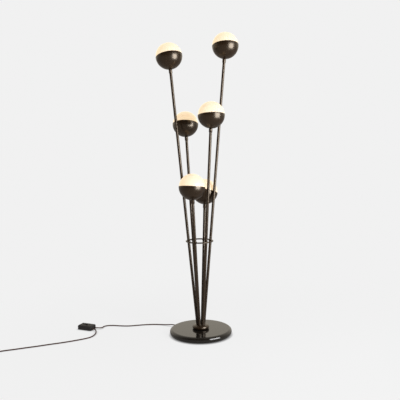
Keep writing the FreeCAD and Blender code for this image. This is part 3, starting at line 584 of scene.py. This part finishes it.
# %% Hub
HUB_RADIUS, HUB_EDGE = 49.0, 11.0
DOME_TOP, BROW_RADIUS, BROW_ANGLE = 63.0, 40.85, 15
DOME_RINGS, EDGE_STEPS = 8, 16
dome_radius = BROW_RADIUS / math.sin(math.radians(BROW_ANGLE))
dome = []
for step in range(1, DOME_RINGS):
    radius = BROW_RADIUS * (1 - step / DOME_RINGS)
    dome.append((radius, DOME_TOP - dome_radius + math.sqrt(dome_radius**2 - radius**2)))
edge_arc = []
for step in range(EDGE_STEPS + 1):
    angle = math.radians(-90 + (180 - BROW_ANGLE) * step / EDGE_STEPS)
    edge_arc.append((HUB_RADIUS - HUB_EDGE + HUB_EDGE * math.cos(angle),
                     FOOT_TOP + HUB_EDGE + HUB_EDGE * math.sin(angle)))
hub = add_piece("hub_bead", lathe([(0, FOOT_TOP), *edge_arc, *dome, (0, DOME_TOP)], 96),
                "stand", bronze, ["hub"])
print("hub:", len(hub.data.polygons), "faces")

# %% [markdown]
# ## The stems
# Each stem is a drawn tube, 16 mm across. A long thin cylinder shades badly if its ends share
# normals with its side, so the tube gets its wall, and its rims stay crisp.

# %% Stems
STEM_RADIUS, STEM_WALL, STEM_SHORTFALL, SEAT = 8.0, 1.5, 81.0, 46.0
STEM_RINGS = 6
for number in HEADS:
    at = frames[number]
    line = at.col[2].xyz
    length = (at.translation.z / MM - SEAT) / line.z - STEM_SHORTFALL
    low = -STEM_SHORTFALL - length
    rings = [low + length * step / STEM_RINGS for step in range(STEM_RINGS + 1)]
    tube = lathe([(STEM_RADIUS, height) for height in rings]
                 + [(STEM_RADIUS - STEM_WALL, height) for height in reversed(rings)], 40)
    stem = add_piece(f"stem_tube_{number}", placed(tube, at), "stand", bronze,
                     [f"stem_{number}"])
    sharpen(stem)
    print(stem.name, round(length), "mm")

# %% [markdown]
# ## The ring and its clips
# A round bar bent into a ring lies just outside the stems, and a small collar on each stem holds
# it. A torus is a circle spun about the lamp's axis.

# %% Ring
RING_HEIGHT, RING_RADIUS, BAR_RADIUS = 551.0, 75.98, 4.0
builder = bmesh.new()
bar = bmesh.ops.create_circle(builder, cap_ends=False, radius=BAR_RADIUS * MM, segments=20,
                              matrix=Matrix.Translation((RING_RADIUS * MM, 0, RING_HEIGHT * MM))
                              @ Matrix.Rotation(math.pi / 2, 4, "X"))["verts"]
bar_edges = list({edge for vert in bar for edge in vert.link_edges})
bmesh.ops.spin(builder, geom=bar + bar_edges, cent=(0, 0, 0), axis=(0, 0, 1),
               angle=math.tau, steps=144, use_merge=True)
bmesh.ops.remove_doubles(builder, verts=builder.verts[:], dist=MERGE)
bmesh.ops.recalc_face_normals(builder, faces=builder.faces[:])
for face in builder.faces:
    face.smooth = True
add_piece("tie_ring", builder, "stand", bronze, ["stem_ring"])
print("ring across:", round(2 * RING_RADIUS + 2 * BAR_RADIUS), "mm")

# %% Clips
CLIP_OUTER, CLIP_HEIGHT, CLIP_ROUNDING = 10.5, 10.0, 1.2
SLIP_FIT = STEM_RADIUS + 0.05
collars = []
for number in HEADS:
    at = frames[number]
    down = (RING_HEIGHT - at.translation.z / MM) / at.col[2].z
    low, high = down - CLIP_HEIGHT / 2, down + CLIP_HEIGHT / 2
    collars.append(placed(lathe([
        (SLIP_FIT, low), (CLIP_OUTER, low, CLIP_ROUNDING), (CLIP_OUTER, high, CLIP_ROUNDING),
        (SLIP_FIT, high),
    ], 40), at))
add_piece("stem_clips", merged(collars), "stand", bronze, ["ring_clips"])
print("clips:", len(collars))

# %% [markdown]
# ## The cups
# A cup is half a ball of thin spun steel with a rolled rim. Half a sphere has its pole on the
# axis, so its rings run parallel to the rim: the upper half is cut away with a plane, the shell
# gets its wall inwards, and the rim's two edges are rounded into one soft lip.

# %% Cups
BALL, CUP_WALL, RIM_ROUNDING = 75.0, 1.2, 0.45
RIM_SHARE, RIM_ANGLE = 0.2, math.radians(40)


def half_ball(radius, wall, rim_rounding):
    """The lower half of a ball as a shell with a rounded rim. The rim's edges are the sharp ones
    that lie within a share of the wall's thickness from the cut."""
    builder = bmesh.new()
    bmesh.ops.create_uvsphere(builder, u_segments=96, v_segments=64, radius=radius * MM)
    everything = builder.verts[:] + builder.edges[:] + builder.faces[:]
    bmesh.ops.bisect_plane(builder, geom=everything, dist=MERGE, plane_co=(0, 0, 0),
                           plane_no=(0, 0, 1), clear_outer=True)
    bmesh.ops.solidify(builder, geom=builder.faces[:], thickness=wall * MM)
    rim = [edge for edge in builder.edges
           if all(vert.co.z > -wall * MM * RIM_SHARE for vert in edge.verts)
           and edge.is_manifold and edge.calc_face_angle() > RIM_ANGLE]
    round_off(builder, rim, rim_rounding * MM, 3)
    for face in builder.faces:
        face.smooth = True
    return builder


for number in HEADS:
    turn = Matrix.Rotation(math.radians(HEAD_TURNS[number]), 4, "Z")
    askew = frames[number] @ turn @ Matrix.Rotation(CUP_TILT, 4, "Y")
    cup = add_piece(f"cup_bowl_{number}", placed(half_ball(BALL, CUP_WALL, RIM_ROUNDING), askew),
                    f"head_{number}", bronze, [f"cup_{number}"])
    sharpen(cup)
print("cup:", len(cup.data.polygons), "faces")

# %% [markdown]
# ## The globes
# A globe is a blown ball, open at the bottom where the holder grips it. It sits half a millimetre
# inside the cup. A plain ball would look the same, since the cup hides the mouth. The mesh is kept
# as a model too, so its mouth is cut with a plane and the glass gets its wall.

# %% Globes
GLASS_OUTER, GLASS_WALL, MOUTH = 73.3, 2.5, 17.0


def blown_ball():
    builder = bmesh.new()
    bmesh.ops.create_uvsphere(builder, u_segments=96, v_segments=64, radius=GLASS_OUTER * MM)
    everything = builder.verts[:] + builder.edges[:] + builder.faces[:]
    mouth_height = -math.sqrt(GLASS_OUTER**2 - MOUTH**2) * MM
    bmesh.ops.bisect_plane(builder, geom=everything, dist=MERGE, plane_co=(0, 0, mouth_height),
                           plane_no=(0, 0, -1), clear_outer=True)
    bmesh.ops.solidify(builder, geom=builder.faces[:], thickness=GLASS_WALL * MM)
    for face in builder.faces:
        face.smooth = True
    return builder


for number in HEADS:
    glass = opal_glass(number, frames[number].translation)
    globe = add_piece(f"globe_glass_{number}", placed(blown_ball(), frames[number]),
                      f"head_{number}", glass, [f"globe_{number}"])
    sharpen(globe, 50)
print("globe:", len(globe.data.polygons), "faces")

# %% [markdown]
# ## The necks
# Under each cup a short turned collar slips over the stem's end. It is a little wider than the
# stem, and its threaded nipple goes up through cup and glass. One profile gives both, closed on
# itself because the wire runs through them. Its lower edge is rounded and its upper one cut off.

# %% Necks
NECK_RADIUS, NECK_LOW, NECK_TOP, NECK_ROUNDING, NECK_CHAMFER = 10.0, -95.0, -74.9, 0.8, 1.0
NIPPLE_RADIUS, NIPPLE_TOP, WIRE_HOLE = 5.0, -62.9, 3.0
SOCKET_TOP = 0.05 - STEM_SHORTFALL
for number in HEADS:
    neck = lathe([
        (SLIP_FIT, NECK_LOW), (NECK_RADIUS, NECK_LOW, NECK_ROUNDING),
        (NECK_RADIUS, NECK_TOP - NECK_CHAMFER), (NECK_RADIUS - NECK_CHAMFER, NECK_TOP),
        (NIPPLE_RADIUS, NECK_TOP), (NIPPLE_RADIUS, NIPPLE_TOP), (WIRE_HOLE, NIPPLE_TOP),
        (WIRE_HOLE, SOCKET_TOP), (SLIP_FIT, SOCKET_TOP),
    ], 48)
    piece = add_piece(f"neck_collar_{number}", placed(neck, frames[number]), f"head_{number}",
                      bronze, [f"neck_{number}"])
    sharpen(piece)
print("necks:", len(HEADS))

# %% [markdown]
# ## The dimmer
# The dimmer is a moulded box in two halves with chamfered upper edges and a slider on top. A box
# could be one cube, but two thin shells show the parting line and let the slot be a real opening.
# The slot is cut by four planes through the top, and its face is deleted before the wall is made.

# %% Dimmer frame and box helper
DIMMER_AT, DIMMER_TURN = Vector((-693.0, 127.0, 0.0)) * MM, math.radians(-23.0)
DIMMER_PLACE = Matrix.Translation(DIMMER_AT) @ Matrix.Rotation(DIMMER_TURN, 4, "Z")
LENGTH, WIDTH, SPLIT, TOP, CORNER, CHAMFER, MOULDING = 94.0, 58.0, 12.0, 27.0, 6.0, 5.0, 2.2
UNDERSIDE, UNDER_EDGE, PARTING = 1.0, 0.8, 0.15
LEVEL = 1e-6


def box(length, width, low, high, corner, along=0.0):
    """A box in millimetres with rounded upright edges."""
    builder = bmesh.new()
    size = Matrix.Diagonal((length * MM, width * MM, (high - low) * MM, 1))
    middle = Matrix.Translation(Vector((along, 0.0, (low + high) / 2)) * MM)
    bmesh.ops.create_cube(builder, size=1.0, matrix=middle @ size)
    upright = [e for e in builder.edges if abs(e.verts[0].co.z - e.verts[1].co.z) > LEVEL]
    round_off(builder, upright, corner * MM, 6)
    return builder


def level_edges(builder, height):
    return [e for e in builder.edges if all(abs(v.co.z - height * MM) < LEVEL for v in e.verts)]


def open_up(builder, height, wall):
    """Takes off the face at a height and gives the rest its wall, inwards."""
    caps = [f for f in builder.faces if all(abs(v.co.z - height * MM) < LEVEL for v in f.verts)]
    bmesh.ops.delete(builder, geom=caps, context="FACES")
    bmesh.ops.recalc_face_normals(builder, faces=builder.faces[:])
    bmesh.ops.solidify(builder, geom=builder.faces[:], thickness=wall * MM)


print("dimmer at", [round(v, 3) for v in DIMMER_AT])

# %% Dimmer halves
lower = box(LENGTH, WIDTH, UNDERSIDE, SPLIT - PARTING, CORNER)
round_off(lower, level_edges(lower, UNDERSIDE), UNDER_EDGE * MM, 2)
open_up(lower, SPLIT - PARTING, MOULDING)
lower_piece = add_piece("dimmer_base", placed(lower, DIMMER_PLACE), "stand", dimmer_black,
                        ["dimmer_lower_shell"])

SLOT_LENGTH, SLOT_WIDTH = 48.0, 5.0
IN_THE_TOP = TOP - 0.01
SOFT_EDGE, SOFT_ANGLE = 0.5, math.radians(25)
upper = box(LENGTH, WIDTH, SPLIT, TOP, CORNER)
round_off(upper, level_edges(upper, TOP), CHAMFER * MM, 1)
for axis, half in ((Vector((1, 0, 0)), SLOT_LENGTH / 2), (Vector((0, 1, 0)), SLOT_WIDTH / 2)):
    for side in (-1, 1):
        whole = upper.verts[:] + upper.edges[:] + upper.faces[:]
        bmesh.ops.bisect_plane(upper, geom=whole, dist=MERGE, plane_co=axis * side * half * MM,
                               plane_no=axis)
slot_faces = []
for face in upper.faces:
    middle = face.calc_center_median() / MM
    in_slot = abs(middle.x) < SLOT_LENGTH / 2 and abs(middle.y) < SLOT_WIDTH / 2
    if in_slot and middle.z > IN_THE_TOP:
        slot_faces.append(face)
bmesh.ops.delete(upper, geom=slot_faces, context="FACES")
open_up(upper, SPLIT, MOULDING)
upper_piece = add_piece("dimmer_lid", placed(upper, DIMMER_PLACE), "stand", dimmer_black,
                        ["dimmer_upper_shell"])
for piece in (lower_piece, upper_piece):
    soft_edges = piece.modifiers.new("soft edges", "BEVEL")
    soft_edges.width = SOFT_EDGE * MM
    soft_edges.segments = 3
    soft_edges.limit_method = "ANGLE"
    soft_edges.angle_limit = SOFT_ANGLE
    soft_edges.harden_normals = True
print("slot faces cut:", len(slot_faces))

# %% Ports
PORT_RADIUS, PORT_LENGTH, PORT_ROUNDING, PORT_SINK = 4.5, 5.0, 1.0, 1.0
PORT_SPACING, PORT_HEIGHT = 28.0, 10.0
sleeves = []
for side in (-1, 1):
    port_at = Vector((LENGTH / 2 - PORT_SINK, side * PORT_SPACING / 2, PORT_HEIGHT)) * MM
    lie_down = Matrix.Translation(port_at) @ Matrix.Rotation(math.pi / 2, 4, "Y")
    sleeves.append(placed(lathe([
        (0, 0), (PORT_RADIUS, 0), (PORT_RADIUS, PORT_LENGTH + PORT_SINK, PORT_ROUNDING),
        (0, PORT_LENGTH + PORT_SINK),
    ], 32), lie_down))
ports = add_piece("dimmer_ports", placed(merged(sleeves), DIMMER_PLACE), "stand", satin_black)
sharpen(ports)
print("ports:", len(sleeves))

# %% Slider
KNOB_LENGTH, KNOB_WIDTH, KNOB_LOW, KNOB_TOP, KNOB_CORNER = 14.0, 12.0, 27.3, 32.3, 1.5
RIB, RIB_WIDTH, RIB_INSET, RIB_CORNER, RIB_SPACING, RIB_COUNT = 0.8, 1.1, 1.5, 0.4, 2.4, 5
STALK_LENGTH, STALK_WIDTH, STALK_LOW, STALK_SINK, STALK_CORNER = 10.0, 4.4, 15.9, 0.3, 0.3
knob = box(KNOB_LENGTH, KNOB_WIDTH, KNOB_LOW, KNOB_TOP - RIB, KNOB_CORNER)
round_off(knob, level_edges(knob, KNOB_TOP - RIB), RIB * MM, 3)
stalk = box(STALK_LENGTH, STALK_WIDTH, STALK_LOW, KNOB_LOW + STALK_SINK, STALK_CORNER)
ribs = []
for step in range(RIB_COUNT):
    along = (step - RIB_COUNT // 2) * RIB_SPACING
    ribs.append(box(RIB_WIDTH, KNOB_WIDTH - 2 * RIB_INSET, KNOB_TOP - RIB * 2, KNOB_TOP,
                    RIB_CORNER, along))
knob_shape = placed(merged([knob, stalk, *ribs]), DIMMER_PLACE)
slider = add_piece("dimmer_knob_cap", knob_shape, "dimmer_knob", satin_black,
                   ["dimmer_slider"])
sharpen(slider)
print("slider:", len(slider.data.polygons), "faces")

# %% [markdown]
# ## Gland and plug
# Where the lead leaves the foot, a tapered rubber sleeve keeps it from kinking. Its ribs are
# grooves cut round a cone, so one lathe profile makes it. The plug outside the picture is a
# rounded block that narrows towards the lead, with two round pins.

# %% Gland
EXIT, EXIT_HEIGHT = math.radians(140.0), 14.0
GLAND_START, GLAND_END = 172.0, 208.5
FLANGE, FLANGE_RADIUS, SLEEVE_TIP = 1.5, 6.0, 3.5
TIP_RADIUS, TIP_SLOPE, TIP_LENGTH = 3.5, 0.2, 3.0
GROOVES, GROOVE_DEPTH, RIB_RADIUS, TAPER = 5, 0.8, 5.7, 1.3
GROOVE_FROM, GROOVE_TO, RIB_FROM, RIB_TO, SMALL_ROUNDING = 0.2, 0.4, 0.45, 0.95, 0.3
outwards = Matrix.Rotation(EXIT, 4, "Z") @ Matrix.Rotation(math.pi / 2, 4, "Y")
exit_place = Matrix.Translation((0, 0, EXIT_HEIGHT * MM)) @ outwards
ribs_start = FOOT_RADIUS + FLANGE
profile = [(0, GLAND_START), (FLANGE_RADIUS, GLAND_START), (FLANGE_RADIUS, ribs_start, 0.5)]
pitch = (GLAND_END - SLEEVE_TIP - ribs_start) / GROOVES
for groove in range(GROOVES):
    start = ribs_start + groove * pitch
    radius = RIB_RADIUS - TAPER * groove / GROOVES
    profile += [(radius - GROOVE_DEPTH, start + GROOVE_FROM),
                (radius - GROOVE_DEPTH, start + pitch * GROOVE_TO),
                (radius, start + pitch * RIB_FROM, SMALL_ROUNDING),
                (radius, start + pitch * RIB_TO, SMALL_ROUNDING)]
profile += [(TIP_RADIUS + TIP_SLOPE, GLAND_END - TIP_LENGTH),
            (TIP_RADIUS, GLAND_END, SMALL_ROUNDING), (0, GLAND_END)]
gland = add_piece("lead_gland", placed(lathe(profile, 40), exit_place), "stand", satin_black,
                  ["cord_gland"])
sharpen(gland)
print("gland grooves:", GROOVES)

# %% Plug
PLUG_LENGTH, PLUG_WIDTH, PLUG_HEIGHT, PLUG_CORNER = 38.0, 34.0, 19.0, 5.0
PLUG_ROUNDING, PLUG_NARROWING = 3.0, 0.3
plug = box(PLUG_LENGTH, PLUG_WIDTH, 0.0, PLUG_HEIGHT, PLUG_CORNER)
round_off(plug, level_edges(plug, 0.0) + level_edges(plug, PLUG_HEIGHT), PLUG_ROUNDING * MM, 5)
for vert in plug.verts:
    towards_lead = max(0.0, -vert.co.x / (PLUG_LENGTH / 2 * MM))
    vert.co.y *= 1 - PLUG_NARROWING * towards_lead**2
for face in plug.faces:
    face.smooth = True
plug_middle = Vector((AT_PLUG.x, AT_PLUG.y - PLUG_LENGTH / 2, 0.0)) * MM
plug_place = Matrix.Translation(plug_middle) @ Matrix.Rotation(-math.pi / 2, 4, "Z")
plug_piece = add_piece("mains_plug", placed(plug, plug_place), "stand", satin_black,
                       ["plug_body"])
sharpen(plug_piece)
print("plug at", [round(v) for v in AT_PLUG])

# %% [markdown]
# ## The dimmer's pieces
# The dimmer's made pieces and the CAD nodes inside it are listed together.
# A declared lead is measured: its real length and thickness, where it starts and what it ends in.

NODES = frame["nodes"]
dimmer_pieces = [lower_piece, upper_piece, ports, slider]
dimmer_pieces += [NODES[name] for name in ("dimmer_board", "dimmer_screws", "dimmer_pads")]

# %% [markdown]
# ## Floor, backdrop and light
# The photograph has one flat pale grey all round, with a trace of shadow by the foot. A white
# sweep lit until it is even would need strong lamps that wash out the lamp's own colours. So the
# grey is given only to what the camera, mirrors and glass see. Near the lamp the floor keeps some
# of its real shading for the shadow, and glows a little more to make up for it. A tight painted
# contact shadow, a dark line where the floor is hidden from the sky, sets each piece down on it.
# In mirrors the floor is a warmer, darker grey, as the satin cups show it.

# %% Floor
BACKDROP, NEAR_GLOW, CONTACT_SHADOW = 0.879, 0.937, 0.02
FLOOR_SHADING, SHADING_REACH, CONTACT_SHADOW_REACH = 0.15, 1.6, 0.016
FLOOR_SIZE, FLOOR_DROP = 60, 0.0004
bpy.ops.mesh.primitive_plane_add(size=FLOOR_SIZE, location=(0, 0, -FLOOR_DROP))
floor = bpy.context.object
floor.name = "floor"
floor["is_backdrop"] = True
floor_material = bpy.data.materials.new("pale_floor")
tree = Tree(floor_material)
place = tree.add("ShaderNodeTexCoord").out("Object")
radius = tree.add("ShaderNodeVectorMath", {"operation": "LENGTH"}, {0: place}).out("Value")
near = (SHADING_REACH - radius).clamped()
paths = tree.add("ShaderNodeLightPath")
mirrored = paths.out("Is Glossy Ray")
seen = (paths.out("Is Camera Ray") + mirrored + paths.out("Is Transmission Ray")).clamped()
drift = tree.noise(place, 1.5, 2.0)
pale = tree.mix(drift, grey(0.86), grey(0.89))
matt = tree.add("ShaderNodeBsdfDiffuse", {}, {"Color": pale})
lit = tree.mix(near, grey(BACKDROP), grey(NEAR_GLOW))
lit = tree.mix(mirrored, lit, shade(0.40, 0.37, 0.34))
# Painted contact shadow: where ambient occlusion finds the floor hidden, its glow fades to a
# near-black grey.
open_sky = tree.add("ShaderNodeAmbientOcclusion", {"samples": 16}, {"Distance": CONTACT_SHADOW_REACH})
glow = tree.add("ShaderNodeEmission", {}, {
    "Color": tree.mix(open_sky.out("AO"), grey(CONTACT_SHADOW), lit)})
glowing = seen * (1 - near * FLOOR_SHADING)
mixed = tree.add("ShaderNodeMixShader", {}, {0: glowing, 1: matt, 2: glow})
tree.add("ShaderNodeOutputMaterial", {}, {"Surface": mixed})
floor.data.materials.append(floor_material)
print("floor:", floor_material.name)

# %% [markdown]
# ## The room in the reflections
# A glossy thing shows the room that it stands in. Behind this lamp is the pale backdrop, and the
# foot's polished top shows it. In front of it is a dim room, which keeps the cups dark. So mirrors
# see a world that runs from a dim brown in front to a warm white behind, by the direction's Y.

# %% World
ROOM_LIGHT = 0.40
world = bpy.data.worlds.new("studio")
scene.world = world
tree = Tree(world)
paths = tree.add("ShaderNodeLightPath")
seen = (paths.out("Is Camera Ray") + paths.out("Is Transmission Ray")).clamped()
direction = tree.add("ShaderNodeTexCoord").out("Generated")
parts = tree.add("ShaderNodeSeparateXYZ", {}, {"Vector": direction})
behind = (parts.out("Y") * 0.9 + 0.5).clamped()
mirrored = tree.mix(behind, shade(0.10, 0.075, 0.05), shade(1.0, 0.92, 0.78))
around = tree.mix(paths.out("Is Glossy Ray"), grey(ROOM_LIGHT), mirrored)
sky = tree.mix(seen, around, grey(BACKDROP))
background = tree.add("ShaderNodeBackground", {}, {"Color": sky, "Strength": 1.0})
tree.add("ShaderNodeOutputWorld", {}, {"Surface": background})
print("world:", world.name)

# %% [markdown]
# ## The window
# One big window stands at the right front. Its reflection is the bright spot on each cup and the
# line down each stem. A window bright enough for that would bleach the globes, so there are two
# area lights: one that only reflections show, and a weaker one that only lights the surfaces.

# %% Lamps
MID_HEIGHT = Vector((0.0, 0.0, 1.15))


def soft_light(name, at, width, height, power):
    """A white rectangular light that faces the lamp's middle."""
    data = bpy.data.lights.new(name, "AREA")
    data.shape = "RECTANGLE"
    data.size, data.size_y = width, height
    data.energy = power
    light = bpy.data.objects.new(name, data)
    light.location = at
    light.rotation_euler = (MID_HEIGHT - Vector(at)).to_track_quat("-Z", "Y").to_euler()
    scene.collection.objects.link(light)
    return light


window_seen = soft_light("window_seen", (2.6, -2.0, 1.15), 2.3, 2.2, 225.0)
window_seen.visible_diffuse = False
window_fill = soft_light("window_fill", (2.0, -2.4, 1.45), 1.4, 1.6, 62.0)
window_fill.visible_glossy = False
scene.view_settings.view_transform = "Standard"
print("lights:", window_seen.name, window_fill.name)

# %% Sizes
low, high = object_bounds()
